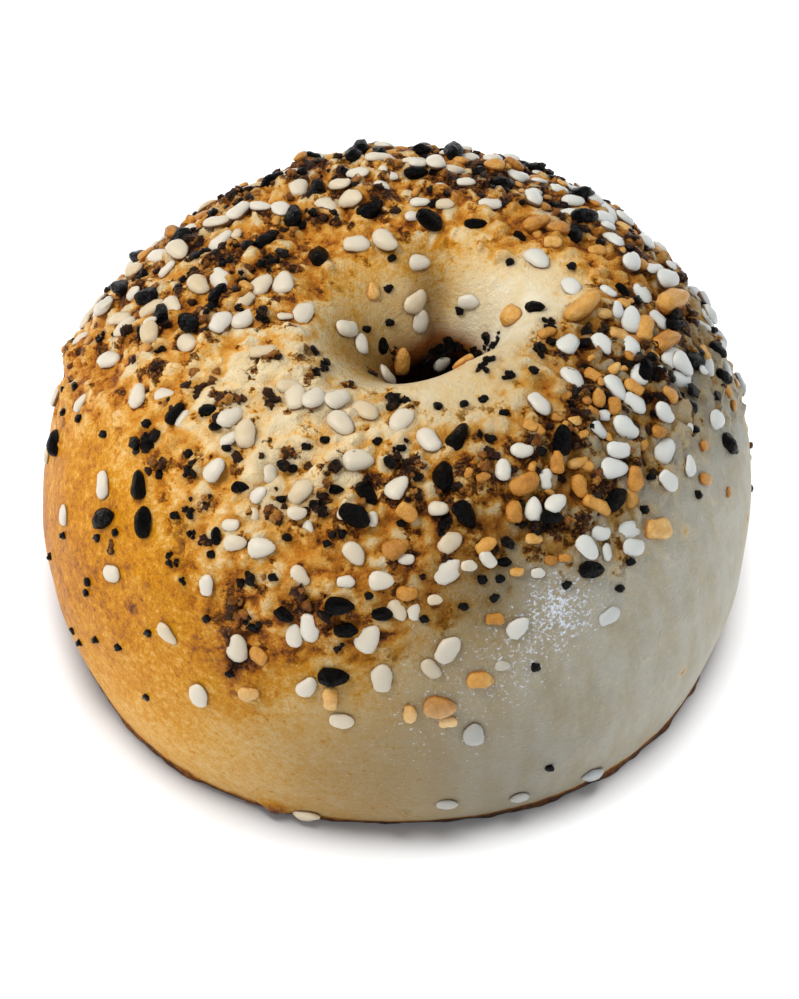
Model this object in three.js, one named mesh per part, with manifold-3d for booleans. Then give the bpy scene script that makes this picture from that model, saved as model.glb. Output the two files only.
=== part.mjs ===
// A seeded bagel: one puffy ring of boiled and baked dough whose hole has nearly closed, with sesame
// seeds, black seeds and bits of toasted onion baked into its crown. Millimetres, +Z up. The origin is
// the middle of its outline on the surface that it lies on, and -Y is its front.

import * as THREE from 'three';
import { ParametricGeometry } from 'three/addons/geometries/ParametricGeometry.js';
import { ImprovedNoise } from 'three/addons/math/ImprovedNoise.js';
import { mergeVertices } from 'three/addons/utils/BufferGeometryUtils.js';
import Module from 'manifold-3d';

// ---- Driving dimensions ----

const OUTER_RADIUS = 44.8; // half the width at the widest ring
const WIDEST_HEIGHT = 13.2; // height of the widest ring
const BASE_RADIUS = 41.6; // edge of the flat underside
const SIDE_ROUNDING = 2; // how late the side turns in to the underside
const CREST_HEIGHT = 48.3; // top of the bare crust, without its seeds
const CREST_RADIUS = 14.6; // radius of the crown's highest line
const SHOULDER_FULLNESS = 2.26; // 2 is an ellipse, and more is fuller

const HOLE_OFFSET = 5; // the hole lies to the right of the middle,
const HOLE_FORWARD = 1.6; // and a little in front of it
const THROAT_HALF_LENGTH = 5.6; // the narrow part of the hole is a rounded slit
const THROAT_HALF_WIDTH = 4.2;
const THROAT_TURN = THREE.MathUtils.degToRad(28); // the slit's long axis, from +X
const THROAT_TOP = 36; // heights between which the hole is narrow
const THROAT_BOTTOM = 9;
const FLARE_RADIUS = 10; // the hole's edge in the underside
const GROOVE_DEPTH = 2; // between the two folds of dough that meet in the funnel's back wall

const CRAG_HEIGHT = 1.6; // the crown is rough, where onion and dough have baked together
const CRAG_SIZE = 4.6;
const STEPS_ROUND = 64;

const SESAME = { length: 3.5, width: 2.2, height: 1.6, taper: 0.28 };
const BLACK_SEED = { length: 3.3, width: 2.1, height: 1.8, taper: 0.35 };
const ONION_BIT = { length: 4.2, width: 3, height: 2.4, taper: 0.1 };
const TOPPINGS = [ONION_BIT, SESAME, BLACK_SEED, SESAME]; // in the order that they are strewn
const TOPPING_COUNT = 112;
const SUNK = 0.42; // share of a topping's height that is baked into the crust
const SIZE_SPREAD = 0.15; // a topping is this share larger or smaller than the usual

const CRUST_COLOUR = 0xd39a4a;

// ---- The ring's section ----

// Swells and dips of the dough round the ring: azimuth and half-width in degrees from +X, and size.
const SWELLS = [
  { at: 18, spread: 25, size: -0.7 },
  { at: 62, spread: 30, size: -0.6 },
  { at: 100, spread: 25, size: -0.3 },
  { at: 138, spread: 24, size: -1.1 },
  { at: 215, spread: 30, size: 0.3 },
  { at: 312, spread: 30, size: 0.7 },
];
const BASE_SWELLS = [
  { at: -42, spread: 26, size: 1.5 }, // the edge of the underside reaches out to both sides of the front
  { at: -138, spread: 26, size: 1.3 },
  { at: -90, spread: 20, size: -0.7 },
];
const MOUTH_SWELLS = [
  { at: 225, spread: 38, size: 4.2 }, // the funnel reaches out to the front left
  { at: -45, spread: 40, size: -2 }, // and the front right lip leans in over it
];
const FUNNEL_FULLNESS = [
  { at: -75, spread: 40, size: 0.3 },
  { at: 5, spread: 40, size: -0.6 },
  { at: 130, spread: 70, size: -0.5 },
];
const GROOVE = { at: 88, spread: 15, size: GROOVE_DEPTH };

// What a list of swells adds up to at an azimuth.
function swell(azimuth, swells) {
  let sum = 0;
  for (const { at, spread, size } of swells) {
    const turn = THREE.MathUtils.radToDeg(azimuth) - at;
    const apart = THREE.MathUtils.euclideanModulo(turn + 180, 360) - 180;
    sum += size * Math.exp(-((apart / spread) ** 2));
  }
  return sum;
}

// The narrow part of the hole is an ellipse: its radius at an azimuth.
function throatRadius(azimuth) {
  const along = Math.cos(azimuth - THROAT_TURN) / THROAT_HALF_LENGTH;
  const across = Math.sin(azimuth - THROAT_TURN) / THROAT_HALF_WIDTH;
  return 1 / Math.hypot(along, across);
}

function crestRadius(azimuth) {
  return CREST_RADIUS + swell(azimuth, MOUTH_SWELLS);
}

function baseRadius(azimuth) {
  return BASE_RADIUS + swell(azimuth, BASE_SWELLS);
}

// A quarter of a superellipse at t, from 0 to 1: its two shares, the first falling and the second rising.
function quarter(t, fullness) {
  const turn = (t * Math.PI) / 2;
  return [Math.cos(turn) ** (2 / fullness), Math.sin(turn) ** (2 / fullness)];
}

const smooth = THREE.MathUtils.smoothstep;

// The stretches of the section, from the edge of the underside outwards, over the crown, down through
// the hole and back along the underside. Each has its number of steps, and gives the radius, the height
// and the share of the hole's place off the middle at t, from 0 to 1 along it.
const SECTION = {
  side: {
    steps: 5,
    at: (t, azimuth) => [
      OUTER_RADIUS - (OUTER_RADIUS - baseRadius(azimuth)) * (1 - t) ** SIDE_ROUNDING,
      WIDEST_HEIGHT * t,
      0,
    ],
  },
  shoulder: {
    steps: 14,
    at: (t, azimuth) => {
      const [out, up] = quarter(t, SHOULDER_FULLNESS);
      const crest = crestRadius(azimuth);
      return [
        crest + (OUTER_RADIUS - crest) * out,
        WIDEST_HEIGHT + (CREST_HEIGHT - WIDEST_HEIGHT) * up,
        0.5 * smooth(t, 0, 1),
      ];
    },
  },
  funnel: {
    steps: 8,
    at: (t, azimuth) => {
      const fullness = 2 + swell(azimuth, FUNNEL_FULLNESS);
      const [up, inwards] = quarter(t, fullness);
      const narrow = throatRadius(azimuth);
      const groove = swell(azimuth, [GROOVE]) * Math.sin(Math.PI * t);
      return [
        narrow + (crestRadius(azimuth) - narrow) * (1 - inwards) + groove,
        THROAT_TOP + (CREST_HEIGHT - THROAT_TOP) * up,
        0.5 + 0.5 * smooth(t, 0, 1),
      ];
    },
  },
  throat: {
    steps: 3,
    at: (t, azimuth) => [throatRadius(azimuth), THROAT_TOP + (THROAT_BOTTOM - THROAT_TOP) * t, 1],
  },
  flare: {
    steps: 3,
    at: (t, azimuth) => {
      const [inwards, down] = quarter(t, 2);
      const narrow = throatRadius(azimuth);
      return [narrow + (FLARE_RADIUS - narrow) * (1 - inwards), THROAT_BOTTOM * (1 - down), 1];
    },
  },
  underside: {
    steps: 3,
    at: (t, azimuth) => [FLARE_RADIUS + (baseRadius(azimuth) - FLARE_RADIUS) * t, 0, 1 - t],
  },
};
const STRETCHES = Object.values(SECTION);
const STEPS_ALONG = STRETCHES.reduce((sum, stretch) => sum + stretch.steps, 0);
const CREST_STEP = SECTION.side.steps + SECTION.shoulder.steps;

// ---- The crust ----

const noise = new ImprovedNoise();

// The crust's surface: u goes round the hole and v along the section, both from 0 to 1.
function crust(u, v, target) {
  const azimuth = 2 * Math.PI * (u - Math.floor(u));
  const step = v * STEPS_ALONG;
  let start = 0;
  let stretch = STRETCHES[0];
  for (const next of STRETCHES.slice(1)) {
    if (step <= start + stretch.steps) break;
    start += stretch.steps;
    stretch = next;
  }
  const [radius, height, holeShare] = stretch.at((step - start) / stretch.steps, azimuth);
  const x = radius * Math.cos(azimuth) + holeShare * HOLE_OFFSET;
  const y = radius * Math.sin(azimuth) - holeShare * HOLE_FORWARD;

  // Swells are on the whole outside, and crags on the crown.
  const outside = smooth(step, 1, 9) * (1 - smooth(step, CREST_STEP, CREST_STEP + 5));
  const crown = smooth(step, 8, 12) * (1 - smooth(step, CREST_STEP, CREST_STEP + 3));
  const crag = noise.noise(x / CRAG_SIZE, y / CRAG_SIZE, height / CRAG_SIZE);
  const relief = outside * swell(azimuth, SWELLS) + crown * CRAG_HEIGHT * crag;
  const lean = Math.atan2(height - WIDEST_HEIGHT, radius - CREST_RADIUS);
  return target.set(
    x + relief * Math.cos(lean) * Math.cos(azimuth),
    y + relief * Math.cos(lean) * Math.sin(azimuth),
    height + relief * Math.sin(lean),
  );
}

// ---- Toppings ----

// The minimal standard generator: the same numbers from 0 to 1 on every run.
let state = 20250;
function random() {
  state = (state * 16807) % 2147483647;
  return state / 2147483647;
}

// A flattened seed with one end slimmer, lying along X.
function seedGeometry({ length, width, height, taper }) {
  const geometry = new THREE.SphereGeometry(1, 6, 3).rotateZ(Math.PI / 2);
  const position = geometry.getAttribute('position');
  for (let i = 0; i < position.count; i++) {
    const slim = 1 - taper * position.getX(i);
    position.setY(i, position.getY(i) * slim);
    position.setZ(i, position.getZ(i) * slim);
  }
  return geometry.scale(length / 2, width / 2, height / 2);
}

// A topping baked into the crust at (u, v), turned at random about the crust's normal there.
function onCrust(topping, u, v) {
  const nudge = 0.004;
  const foot = crust(u, v, new THREE.Vector3());
  const round = crust(u + nudge, v, new THREE.Vector3()).sub(foot).normalize();
  const along = crust(u, v + nudge, new THREE.Vector3()).sub(foot).normalize();
  const normal = new THREE.Vector3().crossVectors(round, along).normalize();
  const side = new THREE.Vector3().crossVectors(normal, round);

  const place = new THREE.Matrix4().makeBasis(round, side, normal);
  place.setPosition(foot.addScaledVector(normal, topping.height * (0.5 - SUNK)));
  const grown = 1 + SIZE_SPREAD * (2 * random() - 1);
  return seedGeometry(topping)
    .scale(grown, grown, grown)
    .rotateZ(random() * 2 * Math.PI)
    .applyMatrix4(place);
}

// ---- Fusing ----

const wasm = await Module();
wasm.setup();

function solid(geometry) {
  geometry.deleteAttribute('normal');
  geometry.deleteAttribute('uv');
  const merged = mergeVertices(geometry, 1e-3);
  return new wasm.Manifold(new wasm.Mesh({
    numProp: 3,
    vertProperties: merged.getAttribute('position').array,
    triVerts: Uint32Array.from(merged.getIndex().array),
  }));
}

function geometryOf(manifold) {
  const mesh = manifold.getMesh();
  return new THREE.BufferGeometry()
    .setAttribute('position', new THREE.BufferAttribute(mesh.vertProperties, 3))
    .setIndex(new THREE.BufferAttribute(mesh.triVerts, 1));
}

// The toppings lie on a sunflower's spiral from the funnel out to the shoulder, which spreads them
// evenly over the crown.
const GOLDEN_TURN = (3 - Math.sqrt(5)) / 2;
const FIRST_STEP = CREST_STEP + 2;
const LAST_STEP = CREST_STEP - 10;
const EVENING = 0.75; // the ring grows on its way out, so the spiral's turns close up
let bagel = solid(new ParametricGeometry(crust, STEPS_ROUND, STEPS_ALONG));
for (let i = 0; i < TOPPING_COUNT; i++) {
  const share = (i / (TOPPING_COUNT - 1)) ** EVENING;
  const step = THREE.MathUtils.lerp(FIRST_STEP, LAST_STEP, share) + 0.4 * (random() - 0.5);
  const u = i * GOLDEN_TURN + 0.008 * (random() - 0.5);
  const topping = TOPPINGS[i % TOPPINGS.length];
  bagel = bagel.add(solid(onCrust(topping, u, step / STEPS_ALONG)));
}

const bagelMesh = new THREE.Mesh(
  geometryOf(bagel),
  new THREE.MeshStandardMaterial({ color: CRUST_COLOUR, roughness: 0.75, metalness: 0 }),
);
bagelMesh.name = 'bagel';

const group = new THREE.Group();
group.add(bagelMesh);

export default group;
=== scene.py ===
"""A seeded bagel: the baked dough ring and everything that is strewn on it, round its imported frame."""

import math
import random

import bmesh
import bpy
import numpy as np
from mathutils import Matrix, Vector, noise
from mathutils.bvhtree import BVHTree
from mathutils.kdtree import KDTree


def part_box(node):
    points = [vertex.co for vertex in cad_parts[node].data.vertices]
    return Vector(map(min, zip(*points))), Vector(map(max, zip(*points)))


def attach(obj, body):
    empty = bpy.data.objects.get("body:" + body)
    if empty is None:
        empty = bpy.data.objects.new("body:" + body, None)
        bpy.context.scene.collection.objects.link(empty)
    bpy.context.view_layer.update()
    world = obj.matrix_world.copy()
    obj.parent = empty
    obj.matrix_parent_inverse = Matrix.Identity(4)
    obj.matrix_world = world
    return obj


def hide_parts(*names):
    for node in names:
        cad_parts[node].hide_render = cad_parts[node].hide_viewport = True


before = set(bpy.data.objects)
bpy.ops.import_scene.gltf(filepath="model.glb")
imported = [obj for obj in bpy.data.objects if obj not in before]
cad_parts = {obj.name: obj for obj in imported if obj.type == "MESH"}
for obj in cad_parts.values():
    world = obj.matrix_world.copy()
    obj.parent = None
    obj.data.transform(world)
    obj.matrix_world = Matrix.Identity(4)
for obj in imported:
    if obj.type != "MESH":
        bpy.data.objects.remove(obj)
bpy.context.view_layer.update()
low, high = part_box("bagel")

# ---- Camera ----
# It looks down on the bagel's front from about a forearm away. Places that are given in pixels are
# those of its view, VIEW_WIDE by VIEW_TALL.

MM = 0.001
VIEW_WIDE, VIEW_TALL = 799, 999
LENS, SENSOR = 104.0, 36.0
FOCAL = LENS / SENSOR * VIEW_TALL  # in pixels
DISTANCE = 359 * MM
NEAREST = 10 * MM
LOOK_DOWN = math.radians(50)
AIM_BELOW, AIM_RIGHT = math.radians(1.32), math.radians(0.1)  # of the bagel's middle


def link_new(name, data):
    """A new object of that camera, light or mesh, in the scene at the origin."""
    made = bpy.data.objects.new(name, data)
    bpy.context.scene.collection.objects.link(made)
    return made


middle = Vector((0, 0, (low.z + high.z) / 2))
camera = link_new("camera", bpy.data.cameras.new("camera"))
bpy.context.scene.camera = camera
camera.data.lens = LENS
camera.data.sensor_width = SENSOR
camera.data.clip_start = NEAREST
camera.location = middle + DISTANCE * Vector((0, -math.cos(LOOK_DOWN), math.sin(LOOK_DOWN)))
camera.rotation_euler = (math.pi / 2 - LOOK_DOWN - AIM_BELOW, 0, -AIM_RIGHT)
bpy.context.view_layer.update()


def line_of_sight(x, y):
    """The direction in which the camera sees the pixel (x, y)."""
    ray = Vector((x - VIEW_WIDE / 2, VIEW_TALL / 2 - y, -FOCAL))
    return (camera.matrix_world.to_3x3() @ ray).normalized()


# ---- Floor and light ----
# A white sweep with a softbox of its own straight above, in an even studio. The bagel's own light is a
# wide warm softbox at the upper left, a small one for its glints, and a cooler, weaker one at the right.


def feed(fed, inputs):
    """Puts values, or what other nodes give, in a shader node's sockets."""
    for socket, value in inputs.items():
        value = getattr(value, "output", value)
        if isinstance(value, bpy.types.NodeSocket):
            fed.id_data.links.new(value, fed.inputs[socket])
        else:
            fed.inputs[socket].default_value = value


def material(name, piece):
    """A new material on a piece: its node tree, and its Principled shader."""
    made = bpy.data.materials.new(name)
    made.use_nodes = True
    piece.data.materials.append(made)
    return made.node_tree, made.node_tree.nodes["Principled BSDF"]


FLOOR_SIZE = 3.0
FLOOR_GREY = (0.62, 0.62, 0.62, 1)
STUDIO_WHITE, STUDIO_STRENGTH = (0.95, 0.97, 1.0, 1), 0.56

floor_form = bmesh.new()
bmesh.ops.create_grid(floor_form, x_segments=1, y_segments=1, size=FLOOR_SIZE / 2)
floor_mesh = bpy.data.meshes.new("floor")
floor_form.to_mesh(floor_mesh)
floor_form.free()
floor = link_new("floor", floor_mesh)
tree, shader = material("floor_paper", floor)
feed(shader, {"Base Color": FLOOR_GREY, "Roughness": 0.9, "Specular IOR Level": 0.1})

world = bpy.data.worlds.new("studio")
world.use_nodes = True
feed(world.node_tree.nodes["Background"], {"Color": STUDIO_WHITE, "Strength": STUDIO_STRENGTH})
bpy.context.scene.world = world
bpy.context.scene.view_settings.view_transform = "Standard"


def lit_by(name, state):
    """A collection that has the floor lit, or left out, by the lights that are given it."""
    lit = bpy.data.collections.new(name)
    lit.objects.link(floor)
    lit.collection_objects[0].light_linking.link_state = state
    return lit


floor_alone = lit_by("floor_alone", "INCLUDE")
all_but_floor = lit_by("all_but_floor", "EXCLUDE")


def softbox(name, towards, distance, size, power, colour, shines_on=all_but_floor):
    """A square soft light, that far from the bagel in a direction, turned to it."""
    light = bpy.data.lights.new(name, "AREA")
    light.size = size
    light.energy = power
    light.color = colour
    lamp = link_new(name, light)
    away = Vector(towards).normalized()
    lamp.location = middle + distance * away
    lamp.rotation_euler = away.to_track_quat("Z", "Y").to_euler()
    lamp.light_linking.receiver_collection = shines_on


softbox("sweep", (-0.01, -0.02, 1), 1.6, 0.8, 50, (1.0, 1.0, 1.0), floor_alone)
softbox("key", (-0.66, 0.16, 0.9), 0.9, 0.8, 4.9, (1.0, 0.93, 0.81))
softbox("glint", (-0.5, -0.12, 0.9), 0.9, 0.1, 2.2, (1.0, 0.96, 0.9))
softbox("fill", (0.85, 0.1, 0.55), 1.0, 0.7, 1.1, (0.72, 0.86, 1.0))

# ---- Dough ring ----
# One boiled and baked ring of white dough. It has risen so far that its hole is nearly shut, so the
# funnel stays pale. The left and the crown are toasted golden, and the right flank leant on its
# neighbour and stayed bare. Its crown is rough with what was strewn on the wet dough. Shade is painted
# into its colour on the right, low at the front, in the hole and down its groove.

OUTER_RADIUS = 44.8  # millimetres from here on
WIDEST_HEIGHT = 13.2
BASE_RADIUS = 41.6
SIDE_ROUNDING = 2
CREST_HEIGHT = 48.3
CREST_RADIUS = 14.6
SHOULDER_FULLNESS = 2.26
HOLE_OFFSET, HOLE_FORWARD = 5, 1.6
THROAT_HALF_LENGTH, THROAT_HALF_WIDTH = 5.6, 4.2
THROAT_TURN = math.radians(28)
THROAT_TOP, THROAT_BOTTOM = 36, 9
FLARE_RADIUS = 10

# Swells of the dough round the ring: azimuth and half-width in degrees, and size in millimetres.
SWELLS = [(18, 25, -0.7), (62, 30, -0.6), (100, 25, -0.3), (138, 24, -1.1), (215, 30, 0.3), (312, 30, 0.7)]
BASE_SWELLS = [(-42, 26, 1.5), (-138, 26, 1.3), (-90, 20, -0.7)]
MOUTH_SWELLS = [(225, 38, 4.2), (-45, 40, -2)]
FUNNEL_FULLNESS = [(-75, 40, 0.3), (5, 40, -0.6), (130, 70, -0.5)]
GROOVE = [(88, 15, 2.0)]


def swell(azimuth, swells):
    """What a list of swells adds up to at each azimuth."""
    total = np.zeros_like(azimuth)
    for at, spread, size in swells:
        apart = (np.degrees(azimuth) - at + 180) % 360 - 180
        total += size * np.exp(-((apart / spread) ** 2))
    return total


def throat_radius(azimuth):
    """The hole's half-width, an ellipse's, towards each azimuth."""
    along = np.cos(azimuth - THROAT_TURN) / THROAT_HALF_LENGTH
    across = np.sin(azimuth - THROAT_TURN) / THROAT_HALF_WIDTH
    return 1 / np.hypot(along, across)


def crest_radius(azimuth):
    return CREST_RADIUS + swell(azimuth, MOUTH_SWELLS)


def quarter(t, fullness):
    """A quarter of a superellipse at t: its falling share and its rising one."""
    turn = t * math.pi / 2
    return np.clip(np.cos(turn), 0, 1) ** (2 / fullness), np.clip(np.sin(turn), 0, 1) ** (2 / fullness)


def smooth(value, start, end):
    """From 0 at start to 1 at end, easing in and out."""
    share = np.clip((value - start) / (end - start), 0, 1)
    return share * share * (3 - 2 * share)


def base_radius(azimuth):
    return BASE_RADIUS + swell(azimuth, BASE_SWELLS)


# Each stretch of the ring's section gives, for t from 0 to 1 along it, the radius, the height, and how
# far the middle has moved to the hole's.
def side(t, azimuth):
    tucked = OUTER_RADIUS - base_radius(azimuth)
    return OUTER_RADIUS - tucked * (1 - t) ** SIDE_ROUNDING, WIDEST_HEIGHT * t, 0 * t


def shoulder(t, azimuth):
    out, up = quarter(t, SHOULDER_FULLNESS)
    crest = crest_radius(azimuth)
    height = WIDEST_HEIGHT + (CREST_HEIGHT - WIDEST_HEIGHT) * up
    return crest + (OUTER_RADIUS - crest) * out, height, smooth(t, 0, 1) / 2


def funnel(t, azimuth):
    up, inwards = quarter(t, 2 + swell(azimuth, FUNNEL_FULLNESS))
    narrow = throat_radius(azimuth)
    groove = swell(azimuth, GROOVE) * np.sin(math.pi * t)
    radius = narrow + (crest_radius(azimuth) - narrow) * (1 - inwards) + groove
    return radius, THROAT_TOP + (CREST_HEIGHT - THROAT_TOP) * up, 0.5 + smooth(t, 0, 1) / 2


def throat(t, azimuth):
    return throat_radius(azimuth), THROAT_TOP + (THROAT_BOTTOM - THROAT_TOP) * t, 1 + 0 * t


def flare(t, azimuth):
    inwards, down = quarter(t, 2)
    narrow = throat_radius(azimuth)
    return narrow + (FLARE_RADIUS - narrow) * (1 - inwards), THROAT_BOTTOM * (1 - down), 1 + 0 * t


def underside(t, azimuth):
    return FLARE_RADIUS + (base_radius(azimuth) - FLARE_RADIUS) * t, 0 * t, 1 - t


# The stretches in order, and how many rows of faces each has.
STRETCHES = [(side, 22), (shoulder, 98), (funnel, 46), (throat, 10), (flare, 8), (underside, 10)]
ROWS = sum(rows for stretch, rows in STRETCHES)
COLUMNS = 510
SIDE_END, CREST, FUNNEL_END, THROAT_END, FLARE_END = 1, 2, 3, 4, 5  # counted in stretches


def ring(along, azimuth):
    """The dough's smooth form: its points in millimetres, and the directions out of it."""
    radius, height, share = np.zeros((3, len(along)))
    for i, (stretch, rows) in enumerate(STRETCHES):
        here = (along >= i) & (along <= i + 1)
        radius[here], height[here], share[here] = stretch(along[here] - i, azimuth[here])
    lean = np.arctan2(height - WIDEST_HEIGHT, radius - CREST_RADIUS)
    outwards = np.stack([np.cos(lean) * np.cos(azimuth), np.cos(lean) * np.sin(azimuth), np.sin(lean)], 1)
    across, back = share * HOLE_OFFSET, -share * HOLE_FORWARD
    points = np.stack([radius * np.cos(azimuth) + across, radius * np.sin(azimuth) + back, height], 1)
    outside = smooth(along, 0.2, 1.3) * (1 - smooth(along, CREST, CREST + 0.6))
    return points + (outside * swell(azimuth, SWELLS))[:, None] * outwards, outwards


section = bmesh.new()
along_layer = section.verts.layers.float.new("along")
rows_along = np.concatenate([i + np.arange(rows) / rows for i, (stretch, rows) in enumerate(STRETCHES)])
profile, _ = ring(rows_along, np.zeros(ROWS))
for along, (x, y, z) in zip(rows_along, profile):
    section.verts.new((x, y, z))[along_layer] = along
section.verts.ensure_lookup_table()
for i in range(ROWS):
    section.edges.new((section.verts[i - 1], section.verts[i]))
bmesh.ops.spin(
    section, geom=section.verts[:] + section.edges[:], cent=(0, 0, 0), axis=(0, 0, 1),
    angle=2 * math.pi, steps=COLUMNS, use_merge=True, use_duplicate=False,
)
bmesh.ops.recalc_face_normals(section, faces=section.faces[:])


def face_order(face):
    """A number of its own for each face, because the spin makes the faces in another order every time."""
    corners = [vert.index for vert in face.verts]
    return min(corners) * len(section.verts) + max(corners)


section.verts.index_update()
section.faces.sort(key=face_order)
crust_mesh = bpy.data.meshes.new("crust")
section.to_mesh(crust_mesh)
section.free()


def from_mesh(items, name, width=1):
    """One of Blender's values for every item of a mesh, as rows of that width."""
    found = np.zeros(len(items) * width, np.float32)
    items.foreach_get(name, found)
    return found.reshape(-1, width).astype(float) if width > 1 else found.astype(float)


spun = from_mesh(crust_mesh.vertices, "co", 3)
along = from_mesh(crust_mesh.attributes["along"].data, "value")
azimuth = np.arctan2(spun[:, 1], spun[:, 0])
form, outwards = ring(along, azimuth)


def rough(points, size, octaves=1):
    """Smooth noise, about -1 to 1, at each point, for bumps of that size."""
    return np.array([noise.fractal(Vector(p / size), 1.0, 2.0, octaves) for p in points])


def packed(points, size):
    """Packed lumps of that size: how far each point is from the creases, and a share for its lump."""
    from_crease, draw = [], []
    for p in points / size:
        distances, corners = noise.voronoi(Vector(p) + 0.3 * noise.noise_vector(Vector(p) * 1.7))
        from_crease.append(distances[1] - distances[0])
        draw.append(abs(math.sin(Vector(corners[0]).dot((12.7, 31.2, 7.5))) * 43.7) % 1)
    return np.array(from_crease), np.array(draw)


# How the oven and the strewing left the crust: the pixel; how far it is baked, from 0, bare, over 0.5,
# golden, to 1, burnt; how thickly it is strewn; how much darker it is painted, partly for damp dough and
# mostly as painted shade; and how many millimetres round the pixel that holds.
ZONES = [
    (75, 520, 0.64, 0.02, 0.16, 8), (110, 450, 0.57, 0.05, 0.04, 8), (100, 600, 0.6, 0.02, 0.18, 8),
    (140, 660, 0.55, 0, 0.15, 8), (130, 700, 0.41, 0, 0.14, 6), (230, 750, 0.38, 0, 0.38, 7),
    (170, 560, 0.6, 0.05, 0.15, 7), (215, 600, 0.62, 0.12, 0.3, 7), (330, 770, 0.4, 0, 0.98, 8),
    (400, 750, 0.3, 0, 1.12, 8), (520, 740, 0.08, 0, 1.28, 8), (560, 700, 0.04, 0, 0.7, 8),
    (690, 600, 0.04, 0, 0.6, 9), (730, 480, 0.05, 0.02, 0.56, 7), (650, 680, 0.05, 0, 0.82, 8),
    (735, 420, 0.06, 0.12, 0.72, 5), (715, 370, 0.1, 0.3, 1.1, 5), (600, 640, 0.05, 0, 0.58, 7),
    (560, 600, 0.1, 0.04, 1.02, 5), (500, 650, 0.16, 0.03, 0.75, 6), (450, 690, 0.28, 0.02, 1.0, 6),
    (480, 600, 0.5, 0.22, 1.8, 5), (420, 620, 0.52, 0.4, 0.9, 5), (360, 600, 0.55, 0.5, 0.25, 6),
    (350, 670, 0.46, 0.2, 0.45, 5), (280, 600, 0.54, 0.6, 0.2, 6), (250, 685, 0.76, 0.5, 0.3, 3),
    (240, 640, 0.74, 0.45, 0.3, 4), (285, 685, 0.44, 0.02, 0.45, 3), (310, 710, 0.36, 0.03, 0.6, 5),
    (335, 275, 0.48, 0.1, 0.42, 3), (360, 290, 0.44, 0, 0.68, 3.5), (205, 560, 0.7, 0.35, 0.2, 3),
    (400, 300, 0.27, 0.01, 0.4, 3.5), (440, 290, 0.56, 0, 1.2, 2.5), (500, 300, 0.07, 0, 0, 6),
    (540, 290, 0.09, 0.02, 0.14, 4), (370, 362, 0.5, 0, 1.5, 3.5), (350, 340, 0.36, 0, 0.9, 3),
    (345, 375, 0.4, 0.1, 0.8, 3), (395, 335, 0.36, 0, 0.8, 2.5), (480, 340, 0.12, 0.05, 0.2, 4),
    (480, 400, 0.27, 0.05, 0.4, 5), (530, 390, 0.46, 0.45, 0.4, 4), (500, 380, 0.25, 0.05, 0.4, 5),
    (420, 245, 0.62, 0, 0.05, 3), (370, 240, 0.48, 0.1, 0.1, 3), (400, 225, 0.5, 0.2, 0.1, 3),
    (460, 236, 0.44, 0.15, 0.1, 3), (480, 250, 0.44, 0.1, 0.3, 4), (605, 235, 0.55, 0.7, 0.6, 4),
    (520, 225, 0.5, 0.4, 0.2, 4), (650, 250, 0.5, 0.9, 0.7, 5), (700, 340, 0.2, 0.6, 1.1, 4),
    (590, 270, 0.46, 0.08, 0.0, 5), (575, 255, 0.47, 0.06, 0.05, 3), (545, 230, 0.5, 0.4, 0.2, 4),
    (200, 390, 0.12, 0.45, 0, 6), (300, 430, 0.05, 0.42, 0, 7), (240, 460, 0.14, 0.45, 0, 6),
    (240, 520, 0.18, 0.6, 0, 6), (330, 520, 0.3, 0.65, 0, 7), (400, 480, 0.32, 0.7, 0, 6),
    (260, 240, 0.44, 0.6, 0, 8), (330, 200, 0.46, 0.62, 0, 6), (450, 180, 0.48, 0.8, 0.05, 7),
    (560, 200, 0.58, 0.95, 0.35, 6), (620, 380, 0.46, 1.05, 1.0, 6), (660, 300, 0.52, 1, 0.95, 7),
    (560, 500, 0.52, 0.95, 1.05, 5), (600, 470, 0.34, 0.9, 1.0, 4), (600, 530, 0.24, 0.8, 0.9, 4),
    (150, 330, 0.38, 0.75, 0, 7), (100, 380, 0.46, 0.6, 0.05, 5), (640, 480, 0.1, 0.75, 0.85, 5),
    (690, 390, 0.1, 0.6, 0.98, 5), (500, 460, 0.44, 0.8, 0.6, 5), (60, 440, 0.58, 0.3, 0.05, 4),
    (60, 480, 0.6, 0.03, 0.1, 5), (150, 430, 0.55, 0.4, 0, 5), (180, 480, 0.5, 0.45, 0, 5),
    (700, 470, 0.1, 0.15, 0.58, 4), (660, 540, 0.08, 0.04, 0.45, 5), (600, 560, 0.12, 0.35, 0.6, 4),
    (430, 560, 0.5, 0.6, 0.85, 5),
]
# The same for the back, by azimuth in degrees and place along the section, in stretches.
ZONES_BEHIND = [
    (20, 1.3, 0.2, 0.4, 0.3, 10), (60, 0.9, 0.3, 0, 0.3, 12), (60, 1.5, 0.5, 0.9, 0.2, 9),
    (100, 0.8, 0.5, 0, 0.15, 12), (100, 1.4, 0.45, 0.85, 0.1, 10), (140, 0.8, 0.58, 0, 0.15, 12),
    (140, 1.4, 0.44, 0.8, 0, 10), (180, 0.6, 0.6, 0, 0.15, 10), (60, 1.8, 0.4, 0.9, 0.15, 8),
    (100, 1.8, 0.38, 0.85, 0.1, 8), (140, 1.8, 0.36, 0.85, 0, 8), (20, 0.7, 0.08, 0, 0.45, 10),
]
crust_faces = [tuple(p.vertices) for p in crust_mesh.polygons]
even_tree = BVHTree.FromPolygons([Vector(p) for p in form * MM], crust_faces)
INWARDS = 0.01


def seen(x, y, surface=even_tree):
    """The point of the crust that the camera sees at the pixel (x, y), or the nearest to it inwards."""
    place = None
    while place is None:
        place = surface.ray_cast(camera.location, line_of_sight(x, y))[0]
        x += INWARDS * (VIEW_WIDE / 2 - x)
        y += INWARDS * (VIEW_TALL / 2 - y)
    return place


def near_to(place, spread):
    """How near each point of the crust is to a place: 1 there, and falling over that many millimetres."""
    return np.exp(-((form - np.array(place)) ** 2).sum(1) / (2 * spread**2))


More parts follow.
